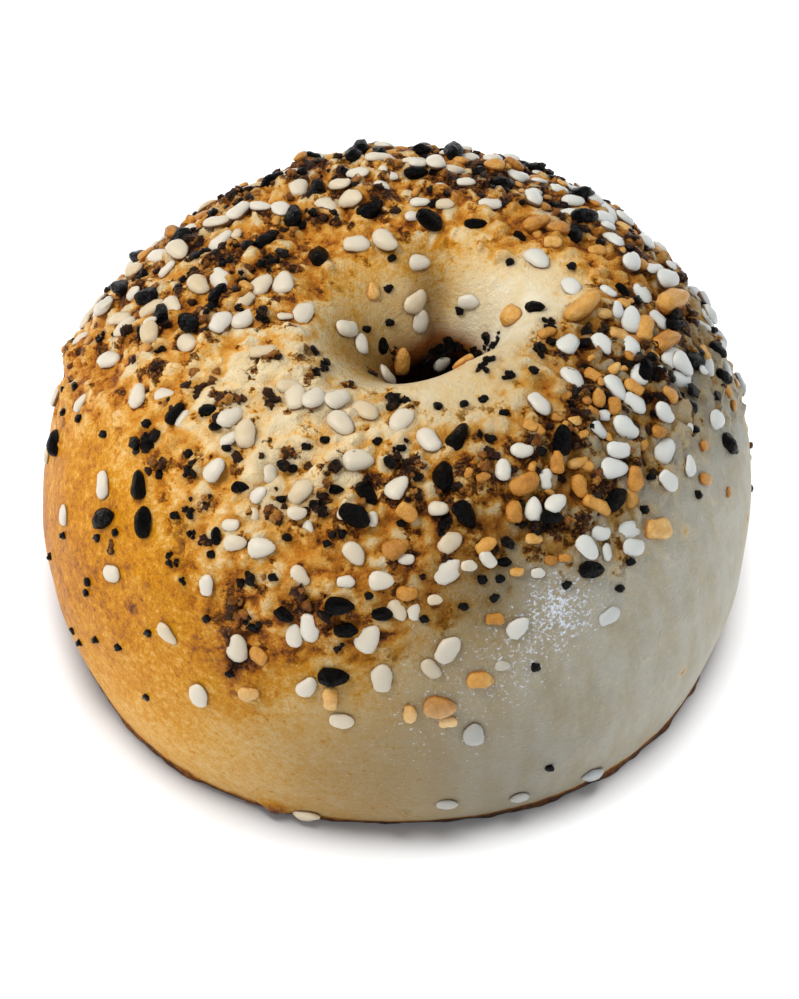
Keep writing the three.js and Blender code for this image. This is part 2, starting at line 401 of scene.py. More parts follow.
FAINT = 1e-5
# The damp share here is damp dough and painted shade together.
FAR_FROM_ALL = [[0.4], [0], [0.2], [1]]  # baked, strewn, damp, and the weight of these
GROOVE_DAMP = 0.5
COAT_END = FUNNEL_END - 0.4
baked, strewn, damp, weight = np.full((4, len(form)), FAINT) * FAR_FROM_ALL
places = [(seen(x, y) / MM, *shares) for x, y, *shares in ZONES]
for at, place_along, *shares in ZONES_BEHIND:
    points, _ = ring(np.array([place_along]), np.array([math.radians(at)]))
    places.append((Vector(points[0]), *shares))
for place, how_baked, how_strewn, how_damp, spread in places:
    near = near_to(place, spread)
    baked += near * how_baked
    strewn += near * how_strewn
    damp += near * how_damp
    weight += near
baked, strewn, damp = baked / weight, strewn / weight, damp / weight
strewn = np.where(along > COAT_END, 0, strewn)
in_groove = swell(azimuth, GROOVE) / GROOVE[0][2] * np.sin(math.pi * np.clip(along - CREST, 0, 1))
# Painted shade down the groove in the funnel's back wall.
damp += GROOVE_DAMP * in_groove

# The strewn crust is craggy: packed lumps with creases between them, and a ragged step at its edge.
CRAG_HEIGHT, CRAG_SIZE = 0.8, 4.6
LUMP_HEIGHT, LUMP_SIZE = 1.1, 3.0
GRIT_HEIGHT, GRIT_SIZE = 0.4, 1.5
COAT_HEIGHT, COAT_SUNK = 0.6, 0.4
COAT_RAGGED, RAGGED_SIZE = 0.22, 2.6
COAT_FROM, COAT_FULL = 0.24, 0.38  # how thickly strewn its edge is
CREASE_WIDTH = 0.55
CRUMBY_SIZE = 4.5
PUFF_HEIGHT, PUFF_SIZE = 0.5, 13
noise.seed_set(7)  # without it noise_vector gives others each time
crags = rough(form, CRAG_SIZE, 2)
from_crease, lump_draw = packed(form, LUMP_SIZE)
lumps = smooth(from_crease, 0, CREASE_WIDTH)
grit = rough(form, GRIT_SIZE, 2)
coat = smooth(strewn + COAT_RAGGED * rough(form, RAGGED_SIZE, 3), COAT_FROM, COAT_FULL)
skin = smooth(along, 0.1, 0.6) * (1 - smooth(along, FUNNEL_END, FUNNEL_END + 0.5))
raised = lumps * (0.3 + 0.7 * lump_draw) - 0.45
relief = coat * (COAT_HEIGHT + CRAG_HEIGHT * crags + LUMP_HEIGHT * raised + GRIT_HEIGHT * grit)
relief += skin * PUFF_HEIGHT * rough(form, PUFF_SIZE, 2) - COAT_SUNK * COAT_HEIGHT * coat
# Its creases are painted browner, partly browning and partly painted shade.
dents = coat * np.clip(0.8 - lumps - 0.5 * crags - 0.4 * grit, 0, 1)
# Beads of dough that rose through the coat, and crumbs of it: the pixel, the millimetres that they are
# wide and tall, and how much they are baked beyond the crust about them.
BEADS = [
    (146, 362, 3.4, 1.3, -0.3), (152, 336, 1.8, 0.8, -0.3), (178, 251, 2.6, 1.2, -0.3),
    (192, 264, 2.4, 0.9, -0.2), (232, 540, 2.2, 0.6, -0.25), (330, 398, 2.8, 0.7, -0.2),
    (590, 303, 3.6, 1.3, 0.05), (248, 693, 2.2, 0.9, -0.1), (370, 195, 3.6, 1.0, 0),
    (450, 196, 3.8, 1.0, 0.05), (300, 165, 3.0, 0.9, 0.05), (145, 282, 2.6, 0.9, 0.05),
    (276, 806, 2.8, 1.0, 0.5), (402, 813, 1.4, 0.7, 0), (132, 608, 1.3, 0.1, 0.35),
    (129, 566, 1.6, 0.1, 0.12), (70, 588, 1.0, 0.1, 0.2), (138, 578, 1.6, 0.35, -0.12),
    (180, 576, 1.3, 0.3, -0.1), (150, 583, 1.0, 0.25, 0.2), (682, 671, 1.0, 0.1, 0.5),
    (685, 531, 1.0, 0.1, 0.4), (746, 518, 1.0, 0.1, 0.8), (330, 470, 2.2, 0.5, -0.1),
    (205, 345, 2.4, 0.8, 0.25),
]
BEAD_SPREADS = 2.4  # in a bead's width
for x, y, wide, tall, darker in BEADS:
    near = near_to(seen(x, y) / MM, wide / BEAD_SPREADS)
    relief += tall * near
    baked += darker * near
crumby = smooth(strewn + 0.6 * rough(form, CRUMBY_SIZE, 2), 0.5, 1.05)
form = form + relief[:, None] * outwards
# The bottom edge spread on the tray to a thin ragged foot.
FOOT_TALL, FOOT_WIDE, FOOT_RAGGED, FOOT_LUMP = 1.6, 0.15, 0.6, 5
from_axis = np.hypot(form[:, 0], form[:, 1])
foot = smooth(form[:, 2], FOOT_TALL, 0.3) * smooth(from_axis, BASE_RADIUS - 3, BASE_RADIUS - 0.8)
foot *= np.clip(FOOT_WIDE + FOOT_RAGGED * rough(form * [1, 1, 0.2], FOOT_LUMP, 3), 0, 2)
form[:, :2] *= (1 + foot / np.maximum(from_axis, 1))[:, None]
crust_mesh.vertices.foreach_set("co", (form * MM).astype(np.float32).ravel())
crust_mesh.polygons.foreach_set("use_smooth", [True] * len(crust_mesh.polygons))
crust_mesh.attributes.remove(crust_mesh.attributes["along"])
crust_mesh.update()
crust_tree = BVHTree.FromPolygons([v.co for v in crust_mesh.vertices], crust_faces)

# The underside browned on the tray, and the rim just above it scorched.
UNDERSIDE_BAKED, RIM_BAKED = 0.62, 0.82
RIM_FROM, RIM_TO = 1.5, 3.2  # millimetres above the tray
baked = np.where(along > THROAT_END, UNDERSIDE_BAKED * smooth(along, FLARE_END, FLARE_END + 0.15), baked)
rim = 1 - smooth(form[:, 2] + 0.8 * rough(form, 2.5, 2), RIM_FROM, RIM_TO)
baked = np.maximum(baked, RIM_BAKED * rim * (along < SIDE_END))
# The throat is painted dark, partly crumbs gathered there and partly painted shade.
throat_depth = smooth(along, FUNNEL_END - 0.42, FUNNEL_END + 0.02)

# Flour that was rubbed on: pixels, how thickly, and millimetres round each.
FLOUR = [
    (556, 596, 0.65, 2.8), (535, 640, 0.5, 4.5), (595, 610, 0.45, 3.5), (490, 690, 0.3, 7),
    (420, 700, 0.25, 7), (600, 540, 0.3, 3), (650, 460, 0.3, 4), (380, 760, 0.2, 6),
]
flour = sum(share * near_to(seen(x, y) / MM, spread) for x, y, share, spread in FLOUR)


def paint(mesh, **kept):
    """Keeps numbers for each vertex, for the shader."""
    for name, values in kept.items():
        mesh.attributes.new(name, "FLOAT", "POINT").data.foreach_set("value", np.asarray(values, np.float32))


paint(crust_mesh, baked=baked, strewn=strewn, crumby=crumby, damp=damp, dents=dents, flour=flour)
paint(crust_mesh, lump=coat * (lump_draw - 0.5) * lumps, depth=throat_depth)


class Fac:
    """A number that a material works out at each point, for sums with numbers and others like it."""

    def __init__(self, output):
        self.output = output

    def __add__(self, other):
        return worked_out("ADD", self, other)

    def __sub__(self, other):
        return worked_out("SUBTRACT", self, other)

    def __mul__(self, other):
        return worked_out("MULTIPLY", self, other)

    __radd__ = __add__
    __rmul__ = __mul__


def node(tree, kind, inputs=None, **settings):
    """A new shader node, with its settings and what its sockets are fed."""
    new = tree.nodes.new(kind)
    for name, value in settings.items():
        setattr(new, name, value)
    feed(new, inputs or {})
    return new


def worked_out(operation, first, second):
    sum_of_both = node(first.output.id_data, "ShaderNodeMath", {0: first, 1: second}, operation=operation)
    return Fac(sum_of_both.outputs[0])


def attribute(tree, name):
    """What paint kept."""
    return Fac(node(tree, "ShaderNodeAttribute", attribute_name=name).outputs["Fac"])


def coordinates(tree):
    """The shaded point's place, in metres from the origin."""
    return node(tree, "ShaderNodeTexCoord").outputs["Object"]


def grain(tree, size, detail, roughness=0.5, tall=1.0):
    """Noise from 0 to 1 whose blotches are about that many millimetres wide, and that many times as tall."""
    inputs = {0: coordinates(tree), 1: (1, 1, 1 / tall)}
    squeezed = node(tree, "ShaderNodeVectorMath", inputs, operation="MULTIPLY").outputs[0]
    inputs = {"Vector": squeezed, "Scale": 1 / (size * MM), "Detail": detail, "Roughness": roughness}
    return Fac(node(tree, "ShaderNodeTexNoise", inputs).outputs["Fac"])


def between(fac, start, end):
    """Fac stretched so that start gives 0 and end gives 1, and kept within those."""
    inputs = {"Value": fac, "From Min": start, "From Max": end}
    stretched = node(fac.output.id_data, "ShaderNodeMapRange", inputs, interpolation_type="SMOOTHSTEP")
    return Fac(stretched.outputs["Result"])


def srgb(red, green, blue):
    """A colour given in 0 to 255, as image files have it, for a shader's socket."""
    shares = [c / 255 / 12.92 if c <= 10 else ((c / 255 + 0.055) / 1.055) ** 2.4 for c in (red, green, blue)]
    return (*shares, 1.0)


def ramp(fac, stops):
    """Colours by a fac, from stops of a position from 0 to 1, red, green and blue."""
    made = node(fac.output.id_data, "ShaderNodeValToRGB", {"Fac": fac})
    elements = made.color_ramp.elements
    while len(elements) < len(stops):
        elements.new(1.0)
    for element, (position, *colour) in zip(elements, stops):
        element.position = position
        element.color = srgb(*colour)
    return made.outputs["Color"]


def mixed(share, under, over, blend="MIX"):
    """One colour over another, by a share from 0 to 1."""
    inputs = {0: share, 6: under, 7: over}
    return node(under.id_data, "ShaderNodeMix", inputs, data_type="RGBA", blend_type=blend).outputs[2]


def shade(shader, colour, roughness, specular, bumps):
    """Feeds a shader. Bumps are their height, their strength, and how many millimetres deep they are."""
    height, strength, deep = bumps
    inputs = {"Height": height, "Strength": strength, "Distance": deep * MM}
    normal = node(shader.id_data, "ShaderNodeBump", inputs).outputs["Normal"]
    feed(shader, {"Base Color": colour, "Roughness": roughness, "Specular IOR Level": specular})
    feed(shader, {"Normal": normal})


crust = link_new("crust", crust_mesh)
tree, shader = material("crust", crust)

# How brown each point is: as it baked, with blotches, freckles and scorched spots.
baked_share, thick, wet = [attribute(tree, name) for name in ("baked", "strewn", "damp")]
coated = between(thick, 0.12, 0.4)
blotch = grain(tree, 3.4, 4, 0.6) - 0.5
mottle = grain(tree, 0.9, 5, 0.75) - 0.5
speckle = grain(tree, 0.3, 3, 0.7) - 0.5
speckled = between(baked_share, 0.3, 0.62)
level = baked_share + blotch * (thick + (0.3 * speckled + 0.08))
level += mottle * (0.55 * speckled + 0.2)
level += speckle * (0.24 * speckled + 0.16)
# Creases darker: partly browning, partly painted shade.
level += attribute(tree, "dents") * (0.35 * thick + 0.14)
level += 0.36 * attribute(tree, "lump")
broken = 0.13 * attribute(tree, "crumby") + grain(tree, 3, 5, 0.65)
level += 0.26 * (between(broken, 0.52, 0.64) * coated)
level -= 0.24 * thick
creamy = between(thick, 0.1, 0.4) * between(wet, 0.7, 0.3)
level = worked_out("MAXIMUM", level, 0.17 * creamy)
level += 0.12 * between(grain(tree, 1.1, 3, 0.6), 0.6, 0.72)

# Bare dough is greyish, baked dough golden, and under the coat it is more tan.
BARE_STOPS = [
    (0.0, 213, 212, 200), (0.14, 240, 230, 204), (0.28, 238, 212, 160), (0.4, 228, 178, 92),
    (0.5, 215, 147, 8), (0.6, 198, 126, 0), (0.72, 158, 92, 22), (0.86, 78, 40, 17), (1.0, 30, 17, 12),
]
COATED_STOPS = [
    (0.0, 214, 206, 190), (0.14, 243, 228, 193), (0.28, 242, 212, 158), (0.42, 228, 171, 80),
    (0.56, 205, 131, 36), (0.7, 146, 80, 24), (0.84, 68, 35, 17), (1.0, 30, 17, 12),
]
colour = mixed(coated, ramp(level, BARE_STOPS), ramp(level, COATED_STOPS))

# The bare dough has tan stains, where its skin dried and cracked finely.
stains = between(grain(tree, 3.2, 5, 0.6, 3.0), 0.3, 0.75) * between(level, 0.4, 0.1)
colour = mixed(stains, colour, srgb(240, 230, 210), "MULTIPLY")

# Where the strewn crust crumbled it is granular, of pale, brown and scorched grains side by side.
GRAIN_STOPS = [
    (0.34, 30, 19, 14), (0.46, 88, 50, 25), (0.54, 150, 90, 34), (0.62, 206, 142, 62), (0.74, 240, 212, 156),
]
crumbled = between(broken, 0.59, 0.65) * coated
grains = grain(tree, 0.45, 3, 0.75)
colour = mixed(crumbled, colour, ramp(-1.1 * broken + (grains + 0.7), GRAIN_STOPS))

# Painted shade darkens it, with a little damp dough. Flour whitens it, the toppings stained it and
# painted contact shade lies round them, and the hole is painted dark inside, partly crumbs and partly shade.
THROAT_STOPS = [(0.1, 255, 255, 255), (0.6, 150, 98, 50), (1.0, 34, 18, 9)]
colour = mixed(1.0, colour, -0.6 * wet + 1.0, "MULTIPLY")
dusty = 0.17 * attribute(tree, "flour") + grain(tree, 0.5, 5, 0.8)
colour = mixed(between(dusty, 0.66, 0.74), colour, srgb(222, 230, 242))
colour = mixed(attribute(tree, "stain"), colour, srgb(120, 76, 44), "MULTIPLY")
colour = mixed(1.0, colour, ramp(attribute(tree, "depth"), THROAT_STOPS), "MULTIPLY")

# Its skin is pitted, and flaky, grainy and cracked where it is strewn.
flaky = {"Vector": coordinates(tree), "Scale": 1 / (1.3 * MM), "Detail": 4, "Roughness": 0.6}
flakes = node(tree, "ShaderNodeTexNoise", flaky, noise_type="RIDGED_MULTIFRACTAL", normalize=True)
flakes.inputs["Lacunarity"].default_value = 2.2
pores = grain(tree, 0.7, 4, 0.6) * (0.8 * thick + 0.38)
pores += Fac(flakes.outputs["Fac"]) * (2.0 * thick + 0.02)
pores += 2.0 * (crumbled * grains)
pores += speckle * (0.7 * thick + 0.25)
shade(shader, colour, roughness=-0.18 * thick + 0.5, specular=0.13, bumps=(pores, 0.9, 0.6))
under_skin = {"Subsurface Weight": 0.06, "Subsurface Radius": (1.0, 0.5, 0.2), "Subsurface Scale": 1.2 * MM}
feed(shader, under_skin)
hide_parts("bagel")
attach(crust, "root")

# ---- White sesame ----
# Hulled sesame seeds, plump, blunt ivory drops with flattened sides. They were pressed on the wet
# dough and are baked in to about a third of their height, lying every way.

EVEN_OVER = 1.5 * MM
MOST_GLANCING = -0.25  # that the camera's view of the crust is taken to be, as a cosine
SEEN_TILT = 0.1

crust_normals = from_mesh(crust_mesh.vertices, "normal", 3)
crust_points = KDTree(len(form))
for i, point in enumerate(form * MM):
    crust_points.insert(point, i)
crust_points.balance()
draws = random.Random(7)
# For everything that lies on the crust: its place, its radius, and how much it browned the crust and painted
# shade round it.
spots = []


def way_out(place):
    """The direction out of the crust at a place, evened out round it."""
    near = [i for point, i, distance in crust_points.find_range(place, EVEN_OVER)]
    return Vector(crust_normals[near].sum(0)).normalized()


def lying(place, out, along_it, size, kind, tilt):
    """Where a topping goes: its middle, its three axes times its half sizes, and its tone."""
    ahead = (along_it - along_it.dot(out) * out).normalized()
    ahead = (ahead + tilt * out).normalized()
    beside = out.cross(ahead).normalized()
    above = ahead.cross(beside)
    centre = place + out * size[2] * MM * (0.5 - kind["sunk"])
    axes = np.array([ahead * size[0], beside * size[1], above * size[2]]) * MM / 2
    spots.append((place, size[1] * MM / 2, kind["browns"]))
    return centre, axes, draws.random()


def read(kind, x, y, wide, tall, lean=0):
    """A topping that the camera sees, by its pixel, its width and height in pixels, and its lean there:
    1 for /, -1 for \\, and 0 if it lies level or upright."""
    place = seen(x, y, crust_tree)
    out = way_out(place)
    angle = lean * math.atan2(tall, wide) if lean else (0 if wide >= tall else math.pi / 2)
    turned = camera.matrix_world.to_3x3()
    across = turned @ Vector((math.cos(angle), math.sin(angle), 0))
    ray = line_of_sight(x, y)
    stretched = across - across.dot(out) / min(ray.dot(out), MOST_GLANCING) * ray
    pixel = (place - camera.location).length / MM / FOCAL
    length = math.sqrt((wide**2 + tall**2) / (1 + kind["slim"] ** 2)) * pixel * stretched.length
    length = min(max(length, kind["short"]), kind["long"])
    size = (length, length * kind["slim"], length * kind["thick"])
    return lying(place, out, stretched, size, kind, draws.uniform(-SEEN_TILT, SEEN_TILT))


def joined(name, shapes, laid):
    """One mesh of many toppings, each a copy of one of the shapes where it is laid."""
    points, faces, tones, above, count = [], [], [], [], 0
    for number, (centre, axes, tone) in enumerate(laid):
        shape_points, shape_faces = shapes[number % len(shapes)]
        points.append(shape_points @ axes + np.array(centre))
        faces.extend([[corner + count for corner in face] for face in shape_faces])
        tones.append(np.full(len(shape_points), tone))
        above.append(shape_points[:, 2])
        count += len(shape_points)
    mesh = bpy.data.meshes.new(name)
    mesh.from_pydata(np.concatenate(points), [], faces)
    mesh.polygons.foreach_set("use_smooth", [True] * len(mesh.polygons))
    paint(mesh, tone=np.concatenate(tones), above=np.concatenate(above))
    mesh.validate()
    return link_new(name, mesh)


def shape_of(bm):
    """The points and faces of a finished bmesh, for joined."""
    bmesh.ops.recalc_face_normals(bm, faces=bm.faces[:])
    bm.verts.index_update()
    result = np.array([v.co for v in bm.verts]), [[v.index for v in face.verts] for face in bm.faces]
    bm.free()
    return result


def drop(taper, bend, blunt=2.6, flat=2.3, ridge=0.0, ridges=3, around=12, rows=8):
    """A seed about 2 long, wide and high, lying along X with its slim end ahead."""
    bm = bmesh.new()
    bmesh.ops.create_uvsphere(bm, u_segments=around, v_segments=rows, radius=1)
    bmesh.ops.rotate(bm, verts=bm.verts[:], cent=(0, 0, 0), matrix=Matrix.Rotation(math.pi / 2, 3, "Y"))
    for vert in bm.verts:
        x, y, z = vert.co
        turn = math.atan2(z, y)
        uneven = 1 + 0.3 * noise.noise(1.3 * vert.co + Vector((0, 0, 9 * bend)))
        around_it = max(1 - abs(x) ** blunt, 0) ** (1 / blunt) * uneven
        pillow = (abs(math.cos(turn)) ** flat + abs(math.sin(turn)) ** flat) ** (-1 / flat)
        girth = around_it * pillow * (1 - taper * x) * (1 + ridge * math.cos(ridges * turn))
        vert.co = (x, math.cos(turn) * girth + bend * (x * x - 0.4), math.sin(turn) * girth)
    return shape_of(bm)


# Lengths in millimetres, and shares: how wide and thick for its length, how deep it sank in the crust,
# and how much it browned that and painted contact shade on it.
SESAME = {"short": 1.8, "long": 3.7, "slim": 0.66, "thick": 0.36, "sunk": 0.36, "browns": 0.45}
# Those that the camera sees: x, y, width, height and lean.
SESAME_SEEN = [
    (104, 485, 17, 31), (65, 515, 13, 23), (113, 573, 15, 10), (139, 396, 14, 28), (82, 403, 13, 22, 1),
    (58, 396, 10, 18), (45, 454, 8, 20), (215, 470, 20, 26, 1), (246, 434, 20, 34), (231, 525, 16, 14),
    (259, 495, 18, 16, 1), (262, 548, 26, 23), (207, 585, 14, 22), (168, 633, 19, 26, -1),
    (238, 647, 18, 29), (200, 694, 16, 23), (310, 627, 20, 27), (295, 635, 14, 24), (369, 638, 24, 36, 1),
    (382, 677, 22, 24), (307, 686, 20, 18, 1), (342, 720, 27, 15), (448, 649, 25, 31, 1),
    (431, 668, 18, 20, -1), (474, 733, 22, 26), (518, 627, 23, 22, 1), (296, 398, 24, 33),
    (314, 399, 18, 26, 1), (341, 424, 24, 24, -1), (402, 421, 25, 28, 1), (429, 441, 21, 29, -1),
    (358, 461, 38, 22), (398, 488, 22, 25, 1), (301, 492, 25, 25, 1), (297, 513, 20, 15),
    (439, 509, 24, 11), (450, 543, 25, 21, 1), (406, 559, 18, 10), (354, 554, 20, 26, -1),
    (382, 581, 27, 18), (346, 582, 19, 12), (300, 576, 18, 22, -1), (448, 571, 32, 22, 1),
    (469, 566, 16, 12), (488, 559, 17, 18, -1), (435, 600, 14, 13), (398, 610, 15, 25, -1),
    (414, 611, 13, 19), (415, 302, 30, 28, 1), (420, 321, 18, 24), (469, 302, 18, 18), (346, 329, 21, 14),
    (361, 344, 14, 20), (420, 263, 24, 13), (357, 245, 30, 14), (385, 241, 27, 23, -1),
    (386, 377, 18, 21, -1), (442, 363, 17, 16, 1), (340, 185, 20, 17), (352, 200, 29, 17),
    (379, 159, 34, 15), (299, 189, 14, 30), (260, 208, 19, 18), (239, 212, 25, 22, 1),
    (281, 211, 16, 24, -1), (418, 164, 18, 14), (436, 163, 14, 18), (454, 172, 28, 16), (466, 183, 18, 14),
    (493, 161, 20, 14, 1), (420, 203, 21, 13), (445, 205, 18, 14), (490, 205, 24, 15), (413, 217, 16, 12),
    (222, 242, 27, 30, 1), (220, 280, 19, 26, -1), (199, 286, 20, 22, -1), (168, 270, 20, 18, 1),
    (159, 258, 18, 14), (135, 271, 18, 16), (178, 251, 30, 34, -1), (106, 305, 18, 14, 1),
    (126, 328, 18, 25, 1), (173, 307, 16, 20, -1), (110, 361, 25, 12), (150, 333, 16, 22),
    (188, 344, 20, 22, -1), (262, 286, 24, 27, 1), (284, 283, 19, 25), (221, 323, 18, 24, 1),
    (244, 320, 25, 22, 1), (285, 317, 14, 14), (303, 315, 23, 30, 1), (262, 353, 32, 17),
    (513, 157, 18, 20), (519, 178, 20, 16), (533, 199, 17, 20), (573, 202, 20, 18), (593, 200, 18, 14, 1),
    (604, 220, 18, 18), (624, 219, 22, 14, -1), (537, 260, 26, 24, -1), (614, 242, 15, 21, -1),
    (645, 243, 26, 24), (631, 262, 19, 17, 1), (667, 279, 28, 17), (571, 288, 13, 18, -1),
    (608, 292, 18, 14, -1), (642, 296, 18, 27, -1), (631, 320, 19, 25), (658, 321, 20, 21, -1),
    (617, 310, 12, 16), (568, 345, 20, 27, 1), (602, 345, 21, 22, -1), (630, 348, 21, 29),
    (572, 380, 21, 28, -1), (615, 389, 22, 32, -1), (634, 404, 24, 22, -1), (664, 413, 20, 22, -1),
    (738, 384, 13, 22), (707, 301, 16, 14, -1), (709, 315, 25, 16, -1), (677, 262, 14, 12, -1),
    (682, 365, 24, 28, -1), (539, 405, 22, 25, -1), (625, 428, 29, 21, -1), (598, 430, 17, 20, -1),
    (605, 416, 16, 12), (618, 450, 22, 20), (665, 451, 21, 28, 1), (614, 469, 30, 15),
    (668, 481, 19, 21, -1), (689, 466, 18, 20), (587, 548, 22, 26, -1), (606, 552, 14, 17),
    (600, 533, 16, 14), (556, 504, 21, 18, 1), (534, 509, 20, 22), (546, 479, 13, 22), (522, 451, 21, 20),
    (503, 470, 18, 20), (538, 573, 12, 12), (307, 813, 32, 12), (447, 803, 22, 14), (520, 796, 16, 12),
    (592, 773, 14, 10),
]
# Those that the crust nearly covers.
SESAME_SUNK = [
    (230, 417, 30, 18, 1), (229, 439, 20, 16, 1), (270, 472, 12, 26), (254, 515, 10, 14),
    (235, 543, 24, 15), (308, 528, 14, 15), (366, 410, 26, 20, -1), (288, 386, 26, 15),
    (338, 398, 36, 18, 1), (345, 514, 17, 12), (373, 519, 13, 14), (182, 418, 14, 20, 1),
    (165, 395, 20, 16), (704, 301, 18, 15), (708, 317, 20, 14, -1), (724, 337, 14, 20),
    (673, 357, 24, 20, 1), (682, 378, 28, 15), (708, 365, 13, 20), (640, 373, 14, 26), (727, 371, 11, 18),
    (103, 306, 20, 22, 1), (120, 318, 16, 14), (133, 293, 14, 16, 1), (245, 300, 20, 16, 1),
    (327, 205, 22, 14, -1), (395, 176, 18, 12), (470, 157, 18, 12), (560, 190, 18, 14), (655, 268, 14, 14),
    (630, 530, 20, 20), (634, 547, 22, 15), (718, 420, 24, 21), (503, 666, 15, 12), (610, 616, 26, 14, 1),
]
SESAME_BEHIND = 150
LIFT = 0.2  # off the crust, so that it doesn't hide itself
FACING_AWAY = -0.12
TRIES = 20  # for each topping
JOLT = 0.2
STREWN_TILT = 0.2

centres = from_mesh(crust_mesh.polygons, "center", 3)
areas = from_mesh(crust_mesh.polygons, "area")
facing = from_mesh(crust_mesh.polygons, "normal", 3)
strewn_faces = np.array([strewn[min(face)] for face in crust_faces])
crumby_faces = np.array([crumby[min(face)] for face in crust_faces])


def out_of_sight(centre, normal):
    """Whether the camera can't see a face of the crust."""
    start = Vector(centre + normal * LIFT * MM)
    to_camera = (camera.location - start).normalized()
    turned_away = to_camera.dot(Vector(normal)) <= FACING_AWAY
    return turned_away or crust_tree.ray_cast(start, to_camera)[0] is not None


behind = np.array([out_of_sight(centre, normal) for centre, normal in zip(centres, facing)])


def scattered(count, weights, kind, clear):
    """Toppings strewn at random, that thickly, each that far in millimetres clear of the others."""
    laid = []
    chances = list(np.cumsum(weights))
    for _ in range(TRIES * count):
        if len(laid) == count:
            break
        face = draws.choices(range(len(chances)), cum_weights=chances)[0]
        place = Vector(centres[face]) + Vector([draws.uniform(-JOLT, JOLT) * MM for _ in range(3)])
        length = draws.uniform(kind["short"], kind["long"])
        own = length * kind["slim"] * MM / 2 + clear * MM
        if any((place - other).length < own + radius for other, radius, _ in spots):
            continue
        along_it = Vector([draws.gauss(0, 1) for _ in range(3)])
        size = (length, length * kind["slim"] * draws.uniform(0.9, 1.1), length * kind["thick"])
        tilt = draws.uniform(-STREWN_TILT, STREWN_TILT)
        laid.append(lying(place, way_out(place), along_it, size, kind, tilt))
    return laid


laid = [read(SESAME, *spot) for spot in SESAME_SEEN]
laid += [read(dict(SESAME, sunk=0.6), *spot) for spot in SESAME_SUNK]
laid += scattered(SESAME_BEHIND, areas * strewn_faces * behind, SESAME, 0.1)
sesame_shapes = [drop(0.1, 0.08, 2.3), drop(0.2, -0.08, 2.3), drop(0.05, 0.12), drop(0.15, 0.02, 2.1)]
sesame_shapes += [drop(0.26, 0.05, 2.2), drop(0.12, -0.13, 2.4), drop(0.18, 0.17, 2.2)]
white_sesame = joined("white_sesame", sesame_shapes, laid)


def axis(tree, name):
    """The shaded point's place along one axis, in metres."""
    return Fac(node(tree, "ShaderNodeSeparateXYZ", {0: coordinates(tree)}).outputs[name])


SESAME_STOPS = [(0.0, 213, 207, 195), (0.5, 211, 202, 184), (0.85, 210, 196, 170), (1.0, 204, 184, 150)]
tree, shader = material("sesame_skin", white_sesame)
tone = 0.3 * grain(tree, 1.6, 3) + attribute(tree, "tone")
colour = ramp(tone - 0.15, SESAME_STOPS)
# Those on the right are painted cooler and greyer: painted cool shade on that side.
colour = mixed(between(axis(tree, "X"), 0, 26 * MM), colour, srgb(211, 213, 208))
# Those low at the front right are painted darker: painted shade on the shaded lower front.
dull = between(axis(tree, "X"), -8 * MM, 8 * MM) * between(axis(tree, "Z"), 40 * MM, 24 * MM)
colour = mixed(dull, colour, srgb(204, 207, 212), "MULTIPLY")
# A thin brown line low on each, partly where the crust baked on to it and partly painted contact shade.
baked_on = 0.9 * between(attribute(tree, "above"), 0.16, -0.12)
colour = mixed(baked_on, colour, srgb(134, 92, 52), "MULTIPLY")
shade(shader, colour, roughness=0.36, specular=0.3, bumps=(grain(tree, 0.7, 2), 0.25, 0.15))
under_skin = {"Subsurface Weight": 0.2, "Subsurface Radius": (1.0, 0.8, 0.6), "Subsurface Scale": 0.6 * MM}
feed(shader, under_skin)
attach(white_sesame, "root")

# ---- Black seeds ----
# Nigella and black sesame: charcoal drops with blunt ridges and a wrinkled, half shiny skin. They were
# strewn with the sesame and lie among it, as deep in the crust.

BLACK = {"short": 1.5, "long": 3.9, "slim": 0.53, "thick": 0.48, "sunk": 0.32, "browns": 0.45}
BLACK_SEEN = [
    (140, 485, 20, 28), (145, 522, 19, 32), (106, 518, 24, 12, 1), (176, 414, 18, 24, 1), (57, 443, 20, 22),
    (209, 411, 18, 11), (216, 427, 12, 10), (217, 536, 14, 16), (241, 488, 14, 14), (334, 676, 31, 20),
    (346, 630, 23, 16), (340, 606, 30, 18), (367, 495, 20, 24, -1), (355, 516, 36, 20, -1),
    (336, 490, 14, 12), (459, 438, 19, 30, 1), (444, 478, 23, 28), (464, 515, 20, 30, -1),
    (562, 441, 26, 30), (614, 500, 23, 22, 1), (591, 569, 22, 19), (728, 445, 13, 20, -1),
    (693, 362, 17, 15), (536, 308, 17, 13), (382, 346, 13, 15), (319, 258, 16, 18), (371, 211, 27, 19, 1),
    (294, 218, 16, 18), (354, 157, 18, 22), (360, 142, 14, 16), (422, 151, 18, 14), (454, 153, 24, 26),
    (416, 174, 25, 13), (502, 186, 24, 14), (430, 222, 27, 19, -1), (476, 225, 22, 16), (589, 187, 18, 13),
    (584, 218, 20, 20), (574, 234, 12, 14), (520, 237, 12, 10, -1), (622, 291, 16, 12, -1),
    (675, 326, 18, 12), (123, 290, 18, 16, -1), (149, 298, 26, 12, 1), (163, 315, 22, 24),
    (139, 256, 20, 14), (190, 325, 18, 16, -1), (268, 242, 30, 18, 1), (318, 190, 16, 18),
    (504, 562, 12, 12), (552, 518, 24, 14), (645, 370, 10, 22), (382, 614, 20, 15), (284, 614, 20, 15, -1),
]
BLACK_BEHIND = 55

laid = [read(BLACK, *spot) for spot in BLACK_SEEN]
laid += scattered(BLACK_BEHIND, areas * strewn_faces * behind, BLACK, 0.1)
black_shapes = [
    drop(0.24, 0.1, 2.2, ridge=0.12, around=16, rows=10),
    drop(0.14, -0.05, 2.4, ridge=0.14, ridges=4, around=16, rows=10),
    drop(0.3, 0.05, 2.1, ridge=0.1, ridges=5, around=16, rows=10),
]
black_seeds = joined("black_seeds", black_shapes, laid)

